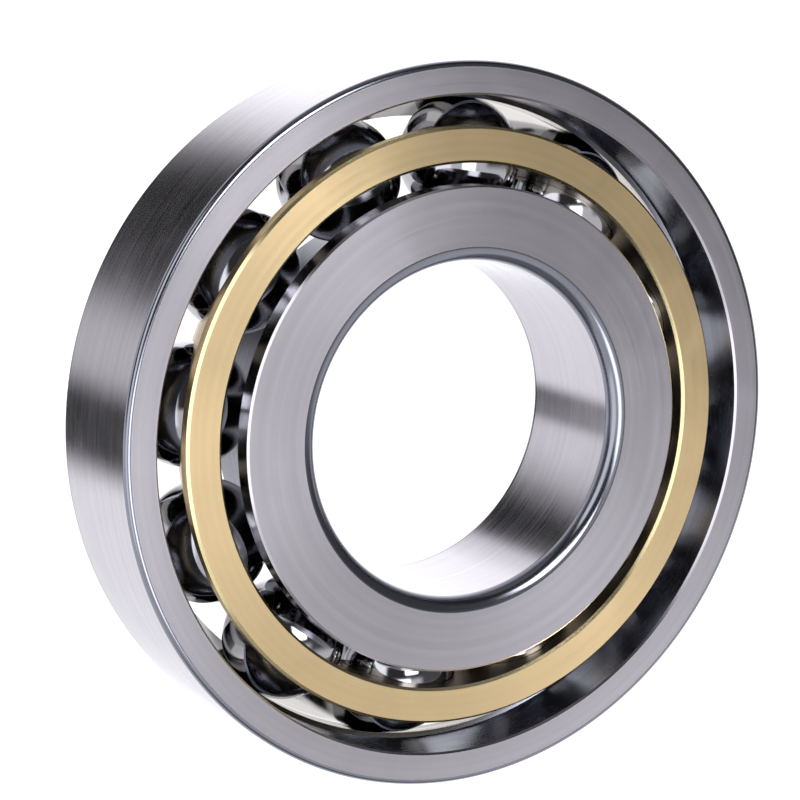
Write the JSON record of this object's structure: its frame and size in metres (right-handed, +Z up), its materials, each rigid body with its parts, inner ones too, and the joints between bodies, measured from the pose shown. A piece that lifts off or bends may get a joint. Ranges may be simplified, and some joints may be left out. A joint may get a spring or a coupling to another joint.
{
  "type": "angular contact bearing",
  "caption": "Single-row angular contact ball bearing: an outer ring open at the front, an inner ring, polished balls and a machined brass cage that turn together.",
  "frame": {"origin": "on the bearing's axis, midway between the side faces of the outer ring", "axes": "Y along the bearing's axis with the open front towards -Y; the bearing stands on its rim, +Z up"},
  "size_m": [0.215, 0.05, 0.215],
  "materials": {
    "ring_steel": "ground hardened bearing steel, raceways honed and polished",
    "cage_brass": "turned and milled brass, satin",
    "ball_steel": "lapped hardened bearing steel, mirror polished"
  },
  "bodies": {
    "outer_ring": {"outer_ring": "ring_steel"},
    "inner_ring": {"inner_ring": "ring_steel"},
    "cage": {"cage": "cage_brass"},
    "ball_01": {"ball_01": "ball_steel"},
    "ball_02": {"ball_02": "ball_steel"},
    "ball_03": {"ball_03": "ball_steel"},
    "ball_04": {"ball_04": "ball_steel"},
    "ball_05": {"ball_05": "ball_steel"},
    "ball_06": {"ball_06": "ball_steel"},
    "ball_07": {"ball_07": "ball_steel"},
    "ball_08": {"ball_08": "ball_steel"},
    "ball_09": {"ball_09": "ball_steel"},
    "ball_10": {"ball_10": "ball_steel"},
    "ball_11": {"ball_11": "ball_steel"},
    "ball_12": {"ball_12": "ball_steel"}
  },
  "joints": [
    {"name": "inner_ring_spin", "type": "hinge", "parent": "outer_ring", "child": "inner_ring", "pos_m": [0, 0, 0], "axis": [0, -1, 0], "continuous": true},
    {"name": "cage_spin", "type": "hinge", "parent": "outer_ring", "child": "cage", "pos_m": [0, 0, 0], "axis": [0, -1, 0], "continuous": true},
    {"name": "ball_01_spin", "type": "hinge", "parent": "cage", "child": "ball_01", "pos_m": [0.07798, 0, -0.01096], "axis": [0.6365, -0.766, -0.0895], "continuous": true},
    {"name": "ball_02_spin", "type": "hinge", "parent": "cage", "child": "ball_02", "pos_m": [0.07302, 0, 0.0295], "axis": [0.596, -0.766, 0.2408], "continuous": true},
    {"name": "ball_03_spin", "type": "hinge", "parent": "cage", "child": "ball_03", "pos_m": [0.04848, 0, 0.06206], "axis": [0.3957, -0.766, 0.5065], "continuous": true},
    {"name": "ball_04_spin", "type": "hinge", "parent": "cage", "child": "ball_04", "pos_m": [0.01096, 0, 0.07798], "axis": [0.0895, -0.766, 0.6365], "continuous": true},
    {"name": "ball_05_spin", "type": "hinge", "parent": "cage", "child": "ball_05", "pos_m": [-0.0295, 0, 0.07302], "axis": [-0.2408, -0.766, 0.596], "continuous": true},
    {"name": "ball_06_spin", "type": "hinge", "parent": "cage", "child": "ball_06", "pos_m": [-0.06206, 0, 0.04848], "axis": [-0.5065, -0.766, 0.3957], "continuous": true},
    {"name": "ball_07_spin", "type": "hinge", "parent": "cage", "child": "ball_07", "pos_m": [-0.07798, 0, 0.01096], "axis": [-0.6365, -0.766, 0.0895], "continuous": true},
    {"name": "ball_08_spin", "type": "hinge", "parent": "cage", "child": "ball_08", "pos_m": [-0.07302, 0, -0.0295], "axis": [-0.596, -0.766, -0.2408], "continuous": true},
    {"name": "ball_09_spin", "type": "hinge", "parent": "cage", "child": "ball_09", "pos_m": [-0.04848, 0, -0.06206], "axis": [-0.3957, -0.766, -0.5065], "continuous": true},
    {"name": "ball_10_spin", "type": "hinge", "parent": "cage", "child": "ball_10", "pos_m": [-0.01096, 0, -0.07798], "axis": [-0.0895, -0.766, -0.6365], "continuous": true},
    {"name": "ball_11_spin", "type": "hinge", "parent": "cage", "child": "ball_11", "pos_m": [0.0295, 0, -0.07302], "axis": [0.2408, -0.766, -0.596], "continuous": true},
    {"name": "ball_12_spin", "type": "hinge", "parent": "cage", "child": "ball_12", "pos_m": [0.06206, 0, -0.04848], "axis": [0.5065, -0.766, -0.3957], "continuous": true}
  ],
  "couplings": [
    {"joint": "cage_spin", "follows": "inner_ring_spin", "ratio": 0.41121},
    {"joint": "ball_01_spin", "follows": "inner_ring_spin", "ratio": -2.0888},
    {"joint": "ball_02_spin", "follows": "inner_ring_spin", "ratio": -2.0888},
    {"joint": "ball_03_spin", "follows": "inner_ring_spin", "ratio": -2.0888},
    {"joint": "ball_04_spin", "follows": "inner_ring_spin", "ratio": -2.0888},
    {"joint": "ball_05_spin", "follows": "inner_ring_spin", "ratio": -2.0888},
    {"joint": "ball_06_spin", "follows": "inner_ring_spin", "ratio": -2.0888},
    {"joint": "ball_07_spin", "follows": "inner_ring_spin", "ratio": -2.0888},
    {"joint": "ball_08_spin", "follows": "inner_ring_spin", "ratio": -2.0888},
    {"joint": "ball_09_spin", "follows": "inner_ring_spin", "ratio": -2.0888},
    {"joint": "ball_10_spin", "follows": "inner_ring_spin", "ratio": -2.0888},
    {"joint": "ball_11_spin", "follows": "inner_ring_spin", "ratio": -2.0888},
    {"joint": "ball_12_spin", "follows": "inner_ring_spin", "ratio": -2.0888}
  ]
}
